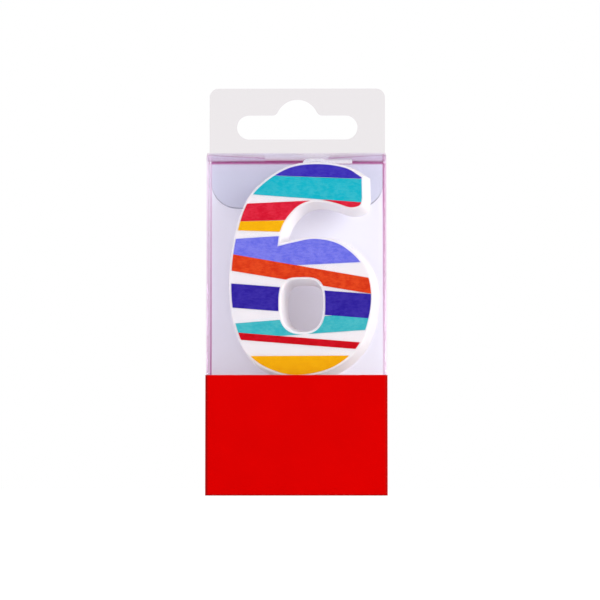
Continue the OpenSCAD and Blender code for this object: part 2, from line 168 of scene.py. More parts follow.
def clear_film(name, clear, cut):
    """Clear PET film, extruded and die cut: thin, glossy, faintly lavender, with painted glow along cut edges
    and folds.

    The fold attribute is 0 on plain film, 0.5 where it has the cut edge's painted glow and 1 where it has the
    fold's.
    """
    material, tree, output = new_material(name)
    angle = add(tree, "ShaderNodeLayerWeight", {"Blend": 0.5}).outputs["Facing"]
    steep = add(tree, "ShaderNodeMath", {0: angle, 1: STEEP_POWER}, operation="POWER").outputs[0]
    fold = add(tree, "ShaderNodeAttribute", attribute_name="fold").outputs["Fac"]
    painted_edge_share = add(tree, "ShaderNodeMapRange", {0: fold, 1: 0.0, 2: 0.5}).outputs[0]
    painted_fold_share = add(tree, "ShaderNodeMapRange", {0: fold, 1: 0.5, 2: 1.0}).outputs[0]
    shadow = add(tree, "ShaderNodeLightPath").outputs["Is Shadow Ray"]
    # The cut edges' and folds' tints are painted glow: colour that stands in for light caught and bent in the
    # film.
    tint = linear(clear)
    for share, colour in ((steep, STEEP_TINT), (painted_edge_share, cut), (painted_fold_share, PAINTED_FOLD_GLOW), (shadow, "#ffffff")):
        tint = add(tree, "ShaderNodeMix", {0: share, 6: tint, 7: linear(colour)}, data_type="RGBA").outputs[2]
    sheer = add(tree, "ShaderNodeBsdfTransparent", {"Color": tint})
    place = add(tree, "ShaderNodeTexCoord").outputs["Object"]
    ripple = add(tree, "ShaderNodeTexNoise", {"Vector": place, "Scale": patches(RIPPLE), "Detail": 1.0})
    bump = add(tree, "ShaderNodeBump", {"Height": ripple.outputs[0], "Strength": 0.05, "Distance": 0.001})
    gloss = add(tree, "ShaderNodeBsdfPrincipled", {
        "Base Color": linear(MIRROR_TINT), "Metallic": 1.0, "Roughness": 0.03, "Normal": bump.outputs[0],
    })
    mirror = add(tree, "ShaderNodeMapRange", {0: steep, 3: MIRROR[0], 4: MIRROR[1]})
    parts = {0: mirror.outputs[0], 1: sheer.outputs[0], 2: gloss.outputs[0]}
    show(tree, output, add(tree, "ShaderNodeMixShader", parts))
    return material


def cast_wax():
    """White paraffin wax, cast in a smooth mould: satin, slightly see-through, with soft flow marks."""
    material, tree, output = new_material("white_paraffin_wax")
    place = add(tree, "ShaderNodeTexCoord").outputs["Object"]
    # Cloudy patches of 6 mm, and flow marks of 2.4 mm.
    colour = mottled(tree, 6.25, 3.0, "#fbf9fd", "#fffdff", place)
    flow = add(tree, "ShaderNodeTexNoise", {"Vector": place, "Scale": patches(2.381), "Detail": 4.0})
    bump = add(tree, "ShaderNodeBump", {"Height": flow.outputs[0], "Strength": 0.1, "Distance": 0.0003})
    rough = add(tree, "ShaderNodeMapRange", {0: flow.outputs[0], 3: 0.38, 4: 0.52})
    wax = add(tree, "ShaderNodeBsdfPrincipled", {
        "Base Color": colour, "Roughness": rough.outputs[0], "IOR": 1.44, "Subsurface Weight": 0.35,
        "Subsurface Radius": (1.0, 0.8, 0.75), "Subsurface Scale": 0.0012, "Normal": bump.outputs[0],
    })
    show(tree, output, wax)
    return material


def stripe_ink(name, dark, pale):
    """Solvent ink brushed on wax: matt, thin streaks along the stripe, and a fine mottle of the brush."""
    material, tree, output = new_material(name)
    place = add(tree, "ShaderNodeTexCoord").outputs["Object"]
    # Streaks 0.43 mm wide, coarser than a brush leaves so that they show, and dabs of 2.4 mm.
    along = add(tree, "ShaderNodeMapping", {0: place, "Scale": (0.4, 1.0, 1.0)})
    streak = add(tree, "ShaderNodeTexNoise",
                 {"Vector": along.outputs[0], "Scale": patches(0.43478), "Detail": 4.0})
    patch = add(tree, "ShaderNodeTexNoise", {"Vector": place, "Scale": patches(2.381), "Detail": 3.0})
    both = add(tree, "ShaderNodeMath", {0: streak.outputs[0], 1: patch.outputs[0]}, operation="ADD")
    spread = add(tree, "ShaderNodeMapRange", {0: both.outputs[0], 1: 0.82, 2: 1.18})
    tints = {0: spread.outputs[0], 6: linear(dark), 7: linear(pale)}
    colour = add(tree, "ShaderNodeMix", tints, data_type="RGBA")
    bump = add(tree, "ShaderNodeBump", {"Height": streak.outputs[0], "Strength": 0.15, "Distance": 0.0002})
    rough = add(tree, "ShaderNodeMapRange", {0: patch.outputs[0], 3: 0.45, 4: 0.65})
    ink = add(tree, "ShaderNodeBsdfPrincipled", {
        "Base Color": colour.outputs[2], "Roughness": rough.outputs[0], "Specular IOR Level": 0.08,
        "Normal": bump.outputs[0],
    })
    show(tree, output, ink)
    return material


def red_print():
    """Solid red gravure print on film: even, satin, with faint roller grain, and a deeper red along folds and
    foot that is painted shade.
    """
    material, tree, output = new_material("red_gravure_print")
    place = add(tree, "ShaderNodeTexCoord").outputs["Object"]
    even = mottled(tree, 11.111, 4.0, "#cb0000", "#cf0000", place)
    way = add(tree, "ShaderNodeSeparateXYZ", {0: place}).outputs
    # Painted shade: the red is deeper where the band turns at its folds and at its foot.
    masks = []
    for axis, (flat, edge) in (("X", BAND_SHADE_X), ("Y", BAND_SHADE_Y)):
        off = add(tree, "ShaderNodeMath", {0: way[axis]}, operation="ABSOLUTE").outputs[0]
        masks.append(add(tree, "ShaderNodeMapRange", {0: off, 1: flat * MM, 2: edge * MM}).outputs[0])
    fold = add(tree, "ShaderNodeMath", {0: masks[0], 1: masks[1]}, operation="MINIMUM")
    foot = add(tree, "ShaderNodeMapRange", {0: way["Z"], 1: BAND_FOOT_SHADE[0] * MM, 2: BAND_FOOT_SHADE[1] * MM})
    deep = add(tree, "ShaderNodeMath", {0: fold.outputs[0], 1: foot.outputs[0]}, operation="MAXIMUM")
    tints = {0: deep.outputs[0], 6: even, 7: linear("#980a08")}
    colour = add(tree, "ShaderNodeMix", tints, data_type="RGBA").outputs[2]
    # Roller grain of 0.56 mm, coarser than the real one so that it shows.
    grain = add(tree, "ShaderNodeTexNoise", {"Vector": place, "Scale": patches(0.55556), "Detail": 2.0})
    bump = add(tree, "ShaderNodeBump", {"Height": grain.outputs[0], "Strength": 0.06, "Distance": 0.0001})
    rough = add(tree, "ShaderNodeMapRange", {0: grain.outputs[0], 3: 0.4, 4: 0.52})
    ink = add(tree, "ShaderNodeBsdfPrincipled", {
        "Base Color": colour, "Roughness": rough.outputs[0], "Specular IOR Level": 0.01,
        "Normal": bump.outputs[0],
    })
    show(tree, output, ink)
    return material


def coated_card():
    """White coated paperboard: matt, with fibres that just show."""
    material, tree, output = new_material("white_paperboard")
    place = add(tree, "ShaderNodeTexCoord").outputs["Object"]
    lie = add(tree, "ShaderNodeMapping", {0: place, "Scale": (0.3, 1.0, 1.0)})
    # Fibres 0.67 mm wide, coarser than real ones so that they show, in clumps of 1.4 mm.
    fibres = add(tree, "ShaderNodeTexNoise",
                 {"Vector": lie.outputs[0], "Scale": patches(0.66667), "Detail": 4.0})
    colour = mottled(tree, 1.42857, 5.0, "#e9e6e0", "#f5f3ef", lie.outputs[0])
    bump = add(tree, "ShaderNodeBump", {"Height": fibres.outputs[0], "Strength": 0.2, "Distance": 0.0002})
    card = add(tree, "ShaderNodeBsdfPrincipled",
               {"Base Color": colour, "Roughness": 0.75, "Normal": bump.outputs[0]})
    show(tree, output, card)
    return material


def moulded_pick():
    """White polypropylene, injection moulded: soft gloss, slightly cloudy."""
    material, tree, output = new_material("white_polypropylene")
    place = add(tree, "ShaderNodeTexCoord").outputs["Object"]
    # Cloudy patches of 3.3 mm, and a mould skin of 0.4 mm.
    colour = mottled(tree, 3.33333, 2.0, "#eeedf0", "#f6f5f8", place)
    grain = add(tree, "ShaderNodeTexNoise", {"Vector": place, "Scale": patches(0.4), "Detail": 2.0})
    rough = add(tree, "ShaderNodeMapRange", {0: grain.outputs[0], 3: 0.25, 4: 0.4})
    plastic = add(tree, "ShaderNodeBsdfPrincipled", {
        "Base Color": colour, "Roughness": rough.outputs[0], "IOR": 1.49, "Subsurface Weight": 0.2,
        "Subsurface Radius": (1.0, 1.0, 1.0), "Subsurface Scale": 0.0006,
    })
    show(tree, output, plastic)
    return material


def waxed_cotton():
    """Plied cotton wick, dipped in wax: soft white yarns with a waxy bloom."""
    material, tree, output = new_material("waxed_cotton_yarn")
    place = add(tree, "ShaderNodeTexCoord").outputs["Object"]
    # Waxy bloom of 1.1 mm, and fuzz of 0.25 mm, coarser than cotton fibres so that it shows.
    colour = mottled(tree, 1.11111, 4.0, "#eeeef8", "#fafaff", place)
    fuzz = add(tree, "ShaderNodeTexNoise", {"Vector": place, "Scale": patches(0.25), "Detail": 3.0})
    bump = add(tree, "ShaderNodeBump", {"Height": fuzz.outputs[0], "Strength": 0.3, "Distance": 0.0001})
    yarn = add(tree, "ShaderNodeBsdfPrincipled",
               {"Base Color": colour, "Roughness": 0.6, "Sheen Weight": 0.2, "Normal": bump.outputs[0]})
    show(tree, output, yarn)
    return material


# Each film's plain tint, then the painted glow of its cut edges.
FILM = clear_film("clear_pet_film", "#fcfbfb", "#e8cedd")
BACK_FILM = clear_film("clear_pet_back", "#f8f6f7", "#e6cbda")
# The tuck flap's film is greyer and bluer than the rest. This is painted shade for the flap's shadow in the
# box, which its film does not cast. The grey of its cut edge is painted shade too.
SHADED_FLAP_FILM = clear_film("clear_pet_flap_painted_shade", "#f6f7fa", "#bfc0c5")
WAX = cast_wax()
RED = red_print()
CARD = coated_card()
PICK = moulded_pick()
COTTON = waxed_cotton()
INKS = {
    "navy_top": stripe_ink("navy_ink", "#3628b4", "#463cbe"),
    "navy_mid": stripe_ink("deep_navy_ink", "#2c1c9e", "#3d2eaa"),
    "teal_top": stripe_ink("cyan_teal_ink", "#08bacd", "#34c2d0"),
    "teal_low": stripe_ink("green_teal_ink", "#36bac6", "#4ec4cb"),
    "red_top": stripe_ink("rose_red_ink", "#da0e2e", "#e42a42"),
    "red_low": stripe_ink("deep_red_ink", "#cc0010", "#d80a22"),
    "yellow_top": stripe_ink("amber_ink", "#f9b600", "#febe04"),
    "yellow_low": stripe_ink("deep_amber_ink", "#fbb200", "#ffbb02"),
    "periwinkle": stripe_ink("periwinkle_ink", "#6a70ea", "#8286f0"),
    "orange": stripe_ink("orange_ink", "#da340e", "#ea4c1c"),
}


def new_object(name, mesh, material):
    """A piece at the origin with one material."""
    piece = bpy.data.objects.new(name, mesh)
    bpy.context.scene.collection.objects.link(piece)
    piece.data.materials.clear()
    piece.data.materials.append(material)
    return piece


def made(piece):
    """The piece with its modifiers worked into a plain mesh."""
    graph = bpy.context.evaluated_depsgraph_get()
    mesh = bpy.data.meshes.new_from_object(piece.evaluated_get(graph))
    piece.modifiers.clear()
    piece.data = mesh
    return piece


def as_mesh(b, name):
    """Ends a bmesh drawn in millimetres and gives its mesh in metres."""
    bmesh.ops.scale(b, vec=(MM, MM, MM), verts=b.verts)
    mesh = bpy.data.meshes.new(name)
    b.to_mesh(mesh)
    b.free()
    return mesh


def smooth(piece):
    """Smooth shading, with sharp edges where the faces turn most."""
    piece.data.shade_smooth()
    piece.data.set_sharp_from_angle(angle=math.radians(SHARP_TURN))


# Curves of the numeral, as in the part's source.
def through(points, steps):
    """A smooth curve through given points."""
    p = np.array(points, float)
    p = np.vstack([2 * p[0] - p[1], p, 2 * p[-1] - p[-2]])
    curve = []
    for a, b, c, d in zip(p, p[1:], p[2:], p[3:]):
        for t in np.arange(steps) / steps:
            curve.append(0.5 * (2 * b + (c - a) * t + (2 * a - 5 * b + 4 * c - d) * t**2
                                + (3 * b - a - 3 * c + d) * t**3))
    return curve + [p[-2]]


def grown(outline, e):
    """The outline moved outwards by e, with mitred corners."""
    p = np.array(outline)
    step = np.roll(p, -1, axis=0) - p
    out = np.stack([step[:, 1], -step[:, 0]], axis=1)
    out /= np.linalg.norm(out, axis=1)[:, None]
    u = np.roll(out, 1, axis=0)
    return p + e * (u + out) / (1 + np.sum(u * out, axis=1))[:, None]


def eye_outline(e):
    """The eye of the six, made smaller by e and squarer above its middle than below."""
    a = np.linspace(0, 2 * math.pi, EYE_STEPS, endpoint=False)
    half = DRAWN_SCALE * np.array(EYE_HALF) - e
    bulge = 2 / np.where(np.sin(a) > 0, *EYE_POWERS)
    round_x = np.sign(np.cos(a)) * np.abs(np.cos(a)) ** bulge
    round_z = np.sign(np.sin(a)) * np.abs(np.sin(a)) ** bulge
    return DRAWN_SCALE * np.array(EYE_AT) + np.stack([half[0] * round_x, half[1] * round_z], axis=1)


DRAWN_SIX = through(BACK_OF_SIX, CURVE_STEPS) + [np.array(NOTCH)] + through(UNDER_ARM, CURVE_STEPS)
SIX = DRAWN_SCALE * np.array(DRAWN_SIX)


def in_box():
    """Puts what is drawn about the pick's axis at its place in the box, in metres."""
    return Matrix.Translation((CANDLE_X * MM, CANDLE_Y * MM, 0)) @ Matrix.Rotation(CANDLE_YAW, 4, "Z")


def ring(b, outline, y):
    """Vertices along an outline of the numeral, at a depth y."""
    return [b.verts.new((x, y, z + FACE_Z)) for x, z in outline]


def skin(b, first, second):
    """Quads between two rings of the same count."""
    n = len(first)
    for i in range(n):
        j = (i + 1) % n
        b.faces.new((first[i], first[j], second[j], second[i]))


def cap(b, loops):
    """Fills the flat area between closed loops of vertices."""
    corners = [v for loop in loops for v in loop]
    for triangle in tessellate_polygon([[v.co for v in loop] for loop in loops]):
        b.faces.new([corners[i] for i in triangle])


def wax_profile():
    """Margin outside the stripes and Y, from the front face over its edge and the draft to the back."""
    turns = [math.radians(a) for a in range(0, 91, 15)]
    front = [(RIM - EDGE_R * (1 - math.sin(a)), WAX_FRONT + EDGE_R * (1 - math.cos(a))) for a in turns]
    full = RIM + DRAFT
    back = [
        (full - BACK_EDGE_R * (1 - math.cos(a)), WAX_BACK - BACK_EDGE_R * (1 - math.sin(a))) for a in turns
    ]
    return front + back


def wax_piece():
    """The cast numeral: rounded front edge, drafted sides, eye and flat back."""
    b = bmesh.new()
    profile = wax_profile()
    outer = [ring(b, grown(SIX, e), y) for e, y in profile]
    inner = [ring(b, eye_outline(e), y) for e, y in profile]
    for rings in (outer, inner):
        for first, second in zip(rings, rings[1:]):
            skin(b, first, second)
    cap(b, [outer[0], inner[0]])
    cap(b, [outer[-1], inner[-1]])
    bmesh.ops.recalc_face_normals(b, faces=b.faces)
    piece = new_object("wax_numeral", as_mesh(b, "wax_numeral"), WAX)
    piece.data.transform(in_box())
    smooth(piece)
    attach(piece, "pack")
    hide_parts("wax_body")


# The stripes' edges are drawn this far to the left and right before they are cut to the face.
STRIPE_END = 24


def ends(edge):
    """Heights of a given edge at the two ends of the stripes."""
    (x0, z0), (x1, z1) = edge
    return [z0 + (z1 - z0) * (x - x0) / (x1 - x0) for x in (-STRIPE_END, STRIPE_END)]


# Each stripe's upper and lower edge, by two points on each.
EDGES = {
    "navy_top": (((-20, 57), (20, 57)), ((-7, 51.7), (15.5, 50.65))),
    "navy_mid": (((-18.4, 23.5), (17.8, 20.55)), ((-18, 17.2), (17.3, 14.2))),
    "teal_top": (((-7, 51.6), (15.5, 50.55)), ((-12.3, 46.75), (15.5, 44.45))),
    "teal_low": (((-17.2, 13.1), (-5.9, 13.95)), ((4, 10.4), (16.25, 11.2))),
    "red_top": (((-14.1, 44.4), (1.6, 45)), ((-15.9, 39.8), (-4.55, 40))),
    "red_low": (((-16.5, 10.65), (14.75, 8)), ((-15.8, 8.75), (13.6, 6.3))),
    "yellow_top": (((-16.1, 39.75), (-4.65, 39.9)), ((-16.6, 37.4), (-5.9, 36.95))),
    "yellow_low": (((-20, 4.55), (20, 4.55)), ((-20, -2), (20, -2))),
    "periwinkle": (((-17.2, 35.2), (-6.3, 35.8)), ((1.2, 28.3), (15.2, 28.85))),
    "orange": (((-17.85, 31.1), (17.1, 24.8)), ((-18.2, 26.8), (17.8, 20.65))),
}

# The stripes of each printed piece, with what is printed over them.
PRINTS = {
    "stripes_navy": [("navy_top", []), ("navy_mid", [])],
    "stripes_teal": [("teal_top", []), ("teal_low", ["navy_mid", "red_low"])],
    "stripes_red": [("red_top", ["teal_top"]), ("red_low", [])],
    "stripes_yellow": [("yellow_top", []), ("yellow_low", [])],
    "stripe_periwinkle": [("periwinkle", ["orange"])],
    "stripe_orange": [("orange", [])],
}


def face_plate():
    """The whole printed layer before it is cut into stripes, on the face of the numeral."""
    b = bmesh.new()
    loops = [[ring(b, o, y) for o in (SIX, eye_outline(0))] for y in (WAX_FRONT - PRINT_T, WAX_FRONT)]
    cap(b, loops[0])
    cap(b, loops[1])
    for first, second in zip(*loops):
        skin(b, first, second)
    bmesh.ops.recalc_face_normals(b, faces=b.faces)
    return as_mesh(b, "face_plate")


def stripe_tree():
    """Geometry Nodes that cut one stripe out of the printed layer, between two slanting edges."""
    tree = bpy.data.node_groups.new("printed_stripe", "GeometryNodeTree")
    tree.interface.new_socket("Layer", in_out="INPUT", socket_type="NodeSocketGeometry")
    for name in ("Upper left", "Upper right", "Lower left", "Lower right"):
        tree.interface.new_socket(name, in_out="INPUT", socket_type="NodeSocketFloat")
    tree.interface.new_socket("Keep inside", in_out="INPUT", socket_type="NodeSocketBool")
    tree.interface.new_socket("Half length", in_out="INPUT", socket_type="NodeSocketFloat")
    tree.interface.new_socket("Ink", in_out="INPUT", socket_type="NodeSocketMaterial")
    tree.interface.new_socket("Stripe", in_out="OUTPUT", socket_type="NodeSocketGeometry")
    given = add(tree, "NodeGroupInput").outputs
    length = add(tree, "ShaderNodeMath", {0: given["Half length"], 1: 2.0}, operation="MULTIPLY").outputs[0]
    size = add(tree, "ShaderNodeCombineXYZ", {0: length, 1: length, 2: 1.0}).outputs[0]
    block = add(tree, "GeometryNodeMeshCube", {"Size": size}).outputs[0]
    spot = add(tree, "ShaderNodeSeparateXYZ", {0: add(tree, "GeometryNodeInputPosition").outputs[0]}).outputs
    share = add(tree, "ShaderNodeMath", {0: spot[0], 1: length}, operation="DIVIDE").outputs[0]
    share = add(tree, "ShaderNodeMath", {0: share, 1: 0.5}, operation="ADD").outputs[0]
    upper = add(tree, "ShaderNodeMix", {0: share, 2: given["Upper left"], 3: given["Upper right"]}).outputs[0]
    lower = add(tree, "ShaderNodeMix", {0: share, 2: given["Lower left"], 3: given["Lower right"]}).outputs[0]
    is_upper = add(tree, "ShaderNodeMath", {0: spot[2], 1: 0.0}, operation="GREATER_THAN").outputs[0]
    height = add(tree, "ShaderNodeMix", {0: is_upper, 2: lower, 3: upper}).outputs[0]
    moved = add(tree, "ShaderNodeCombineXYZ", {0: spot[0], 1: spot[1], 2: height}).outputs[0]
    cutter = add(tree, "GeometryNodeSetPosition", {"Geometry": block, "Position": moved}).outputs[0]
    inside = add(tree, "GeometryNodeMeshBoolean", operation="INTERSECT", solver="EXACT")
    for shape in (given["Layer"], cutter):
        tree.links.new(shape, inside.inputs["Mesh 2"])
    outside = add(tree, "GeometryNodeMeshBoolean", {"Mesh 1": given["Layer"], "Mesh 2": cutter},
                  operation="DIFFERENCE", solver="EXACT")
    kept = add(tree, "GeometryNodeSwitch",
               {"Switch": given["Keep inside"], "False": outside.outputs[0], "True": inside.outputs[0]},
               input_type="GEOMETRY").outputs[0]
    real = add(tree, "GeometryNodeRealizeInstances", {"Geometry": kept}).outputs[0]
    inked = add(tree, "GeometryNodeSetMaterial", {"Geometry": real, "Material": given["Ink"]}).outputs[0]
    add(tree, "NodeGroupOutput", {"Stripe": inked})
    return tree


def set_inputs(modifier, values):
    """Sets a Geometry Nodes modifier's named inputs."""
    for item in modifier.node_group.interface.items_tree:
        if item.item_type == "SOCKET" and item.in_out == "INPUT" and item.name in values:
            modifier[item.identifier] = values[item.name]


def cut_stripe(plate, tree, name, over):
    """One stripe as an object of its own, less what is printed over it."""
    stripe = new_object(name, plate.copy(), INKS[name])
    for edge, inside in [(name, True)] + [(o, False) for o in over]:
        heights = [FACE_Z + DRAWN_SCALE * z for side in EDGES[edge] for z in ends(side)]
        modifier = stripe.modifiers.new(edge, "NODES")
        modifier.node_group = tree
        set_inputs(modifier, {
            "Upper left": heights[0] * MM, "Upper right": heights[1] * MM,
            "Lower left": heights[2] * MM, "Lower right": heights[3] * MM,
            "Keep inside": inside, "Half length": DRAWN_SCALE * STRIPE_END * MM, "Ink": INKS[name],
        })
        made(stripe)
    return stripe


def joined(name, parts, inks):
    """Several objects' meshes as one piece, each keeping its own ink."""
    mesh = bpy.data.meshes.new(name)
    piece = new_object(name, mesh, inks[0])
    for ink in inks[1:]:
        mesh.materials.append(ink)
    b = bmesh.new()
    for i, part in enumerate(parts):
        before = len(b.faces)
        b.from_mesh(part.data)
        b.faces.ensure_lookup_table()
        for f in b.faces[before:]:
            f.material_index = i
        bpy.data.objects.remove(part)
    b.to_mesh(mesh)
    b.free()
    return piece


def stripe_pieces():
    """The printed stripes of each colour, a thin layer on the face of the wax."""
    plate = face_plate()
    tree = stripe_tree()
    for node, stripes in PRINTS.items():
        parts = [cut_stripe(plate, tree, name, over) for name, over in stripes]
        piece = joined("printed_" + node, parts, [INKS[name] for name, over in stripes])
        piece.data.transform(in_box())
        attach(piece, "pack")
        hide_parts(node)


# The wick: radius, height where it lies, bend, reach to the right, depth in the wax, bow and where that falls
# away, then the pitch, count and grooves of its yarns.
WICK_R = 0.6
WICK_Z = 87.375
WICK_BEND = 1.2
WICK_REACH = 12.5
WICK_DEPTH = 8.0
WICK_BOW = 0.38
WICK_FALL = (4.4, 6.1)
WICK_PITCH = 2.6
WICK_YARNS = 3.0
WICK_GROOVE = 0.28


def wick_path():
    """Up out of the wax, over to the right and along the top of the numeral."""
    turn_z = WICK_Z + WICK_BOW - WICK_BEND
    bend = [math.radians(a) for a in range(180, 89, -10)]
    points = [(0, turn_z - WICK_DEPTH)]
    points += [(WICK_BEND + WICK_BEND * math.cos(a), turn_z + WICK_BEND * math.sin(a)) for a in bend]
    for x in np.linspace(WICK_BEND, WICK_REACH, 24)[1:]:
        fall = np.clip((x - WICK_FALL[0]) / (WICK_FALL[1] - WICK_FALL[0]), 0, 1)
        points.append((x, WICK_Z + WICK_BOW * (1 + math.cos(math.pi * fall)) / 2))
    return [(x, 0, z) for x, z in points]


def wick_tree():
    """Geometry Nodes that sweep three plied yarns along a path and twist them."""
    tree = bpy.data.node_groups.new("plied_wick", "GeometryNodeTree")
    tree.interface.new_socket("Path", in_out="INPUT", socket_type="NodeSocketGeometry")
    for name in ("Radius", "Pitch", "Yarns", "Groove depth"):
        tree.interface.new_socket(name, in_out="INPUT", socket_type="NodeSocketFloat")
    tree.interface.new_socket("Yarn", in_out="INPUT", socket_type="NodeSocketMaterial")
    tree.interface.new_socket("Wick", in_out="OUTPUT", socket_type="NodeSocketGeometry")
    given = add(tree, "NodeGroupInput").outputs
    curve = add(tree, "GeometryNodeMeshToCurve", {"Mesh": given["Path"]}).outputs[0]
    curve = add(tree, "GeometryNodeResampleCurve", {"Curve": curve, "Count": 150}).outputs[0]
    run = add(tree, "GeometryNodeSplineParameter").outputs["Length"]
    turns = add(tree, "ShaderNodeMath", {0: run, 1: given["Pitch"]}, operation="DIVIDE").outputs[0]
    angle = add(tree, "ShaderNodeMath", {0: turns, 1: 2 * math.pi}, operation="MULTIPLY").outputs[0]
    twisted = add(tree, "GeometryNodeSetCurveTilt", {"Curve": curve, "Tilt": angle}).outputs[0]
    section = add(tree, "GeometryNodeCurvePrimitiveCircle", {"Resolution": 36, "Radius": 1.0}).outputs[0]
    around = add(tree, "GeometryNodeSplineParameter").outputs["Factor"]
    lobes = add(tree, "ShaderNodeMath", {0: around, 1: given["Yarns"]}, operation="MULTIPLY").outputs[0]
    lobes = add(tree, "ShaderNodeMath", {0: lobes, 1: math.pi}, operation="MULTIPLY").outputs[0]
    wave = add(tree, "ShaderNodeMath", {0: lobes}, operation="SINE").outputs[0]
    wave = add(tree, "ShaderNodeMath", {0: wave}, operation="ABSOLUTE").outputs[0]
    dip = add(tree, "ShaderNodeMapRange", {0: wave, 3: given["Groove depth"], 4: 0.0}).outputs[0]
    reach = add(tree, "ShaderNodeMath", {0: 1.0, 1: dip}, operation="SUBTRACT").outputs[0]
    reach = add(tree, "ShaderNodeMath", {0: reach, 1: given["Radius"]}, operation="MULTIPLY").outputs[0]
    spot = add(tree, "GeometryNodeInputPosition").outputs[0]
    spot = add(tree, "ShaderNodeVectorMath", {0: spot, "Scale": reach}, operation="SCALE").outputs[0]
    section = add(tree, "GeometryNodeSetPosition", {"Geometry": section, "Position": spot}).outputs[0]
    swept = add(tree, "GeometryNodeCurveToMesh",
                {"Curve": twisted, "Profile Curve": section, "Fill Caps": True}).outputs[0]
    soft = add(tree, "GeometryNodeSetShadeSmooth", {"Geometry": swept, "Shade Smooth": True}).outputs[0]
    real = add(tree, "GeometryNodeRealizeInstances", {"Geometry": soft}).outputs[0]
    yarn = add(tree, "GeometryNodeSetMaterial", {"Geometry": real, "Material": given["Yarn"]}).outputs[0]
    add(tree, "NodeGroupOutput", {"Wick": yarn})
    return tree


def wick_piece():
    """The plied wick, lying over to the right under the lid."""
    points = [Vector(p) * MM for p in wick_path()]
    mesh = bpy.data.meshes.new("plied_wick")
    mesh.from_pydata(points, [(i, i + 1) for i in range(len(points) - 1)], [])
    piece = new_object("plied_wick", mesh, COTTON)
    modifier = piece.modifiers.new("plied_wick", "NODES")
    modifier.node_group = wick_tree()
    set_inputs(modifier, {
        "Radius": WICK_R * MM, "Pitch": WICK_PITCH * MM, "Yarns": WICK_YARNS, "Groove depth": WICK_GROOVE,
        "Yarn": COTTON,
    })
    made(piece)
    b = bmesh.new()
    b.from_mesh(piece.data)
    bmesh.ops.recalc_face_normals(b, faces=b.faces)
    b.to_mesh(piece.data)
    b.free()
    piece.data.transform(in_box())
    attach(piece, "pack")
    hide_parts("wick")


# The folding box, drawn on the middle of its film and then given its thickness: where the film and its flat
# panels end, the bends, the panels' feet and tops, and the painted glow on the back creases at foot and top.
FILM_X = BOX_W / 2 - FILM_T / 2
FILM_Y = BOX_D / 2 - FILM_T / 2
FLAT_X = BOX_W / 2 - CREASE_R
FLAT_Y = BOX_D / 2 - CREASE_R
BEND_R = CREASE_R - FILM_T / 2
SLEEVE_FOOT = 0.62
FRONT_FOOT = 0.02
SLEEVE_TOP = DUST_Z - FOLD_R
FRONT_TOP = LID_Z - FOLD_R
SLEEVE_ROWS = 9
# Painted glow on the back creases, left and right, at foot and top.
BACK_LEFT_GLOW = (1.0, 0.25)
BACK_RIGHT_GLOW = (0.1, 0.8)

# Margins: how far past the flat panels a bend takes its tint, how near to the back counts as on it, and how
# near two points count as one.
OFF_FLAT = 0.05
ON_BACK = 0.001
SAME = 1e-5

# The hang slot: height of its middle, its lobes, its hump, and the blends between them.
SLOT_Z = 97.745
LOBE_R = 3.2
LOBE_X = 12.8
HUMP_R = 5.7
HUMP_UP = 1.7
BLEND_R = 1.6


def arc(x, y, r, start, stop, steps):
    """Points on a circle between two angles in degrees."""
    turns = [math.radians(start + (stop - start) * i / steps) for i in range(steps + 1)]
    return [(x + r * math.cos(a), y + r * math.sin(a)) for a in turns]


def sleeve_path():
    """Round the box on the middle of the film, from the back's left edge to its right edge."""
    path = arc(-FLAT_X, FLAT_Y, BEND_R, 90, 180, 8)
    path += arc(-FLAT_X, -FLAT_Y, BEND_R, 180, 270, 8)
    path += arc(FLAT_X, -FLAT_Y, BEND_R, 270, 360, 8)
    return path + arc(FLAT_X, FLAT_Y, BEND_R, 0, 90, 8)


def euro_slot():
    """The hang slot's outline: two round lobes, a hump, and blends where they meet."""
    rise = LOBE_R + BLEND_R - HUMP_UP
    side = math.sqrt((HUMP_R + BLEND_R) ** 2 - rise ** 2)
    lean = math.degrees(math.atan2(rise, side))
    points = arc(LOBE_X, SLOT_Z, LOBE_R, -90, 90, 16)
    points += arc(side, SLOT_Z + LOBE_R + BLEND_R, BLEND_R, 270, 180 + lean, 6)
    points += arc(0, SLOT_Z + HUMP_UP, HUMP_R, lean, 180 - lean, 24)
    points += arc(-side, SLOT_Z + LOBE_R + BLEND_R, BLEND_R, -lean, -90, 6)
    return points + arc(-LOBE_X, SLOT_Z, LOBE_R, 90, 270, 16)


def back_outline(levels):
    """The back and its hang tab, from the foot at the right round over the tab."""
    half = BOX_W / 2
    points = [(FLAT_X, z) for z in levels] + [(FLAT_X, BOX_H), (half, BOX_H)]
    points += arc(half - TAB_R, TAB_TOP - TAB_R, TAB_R, 0, 90, 12)
    points += arc(-half + TAB_R, TAB_TOP - TAB_R, TAB_R, 90, 180, 12)
    points += [(-half, BOX_H), (-FLAT_X, BOX_H)]
    return points + [(-FLAT_X, z) for z in reversed(levels)]


def thickened(piece):
    """Gives a sheet the film's thickness, half to each side."""
    wall = piece.modifiers.new("film", "SOLIDIFY")
    wall.thickness = FILM_T * MM
    wall.offset = 0
    wall.use_even_offset = True
    made(piece)


def painted_crease_glow(x, y, z):
    """How strongly a point takes the painted glow along the folds: only on the upright creases at the back,
    below the lid.
    """
    on_bend = abs(x) > FLAT_X + OFF_FLAT and FLAT_Y + OFF_FLAT < y < FILM_Y - ON_BACK
    if not on_bend or z > FRONT_TOP + OFF_FLAT:
        return 0.0
    return np.interp(z, (SLEEVE_FOOT, FRONT_TOP), BACK_LEFT_GLOW if x < 0 else BACK_RIGHT_GLOW)


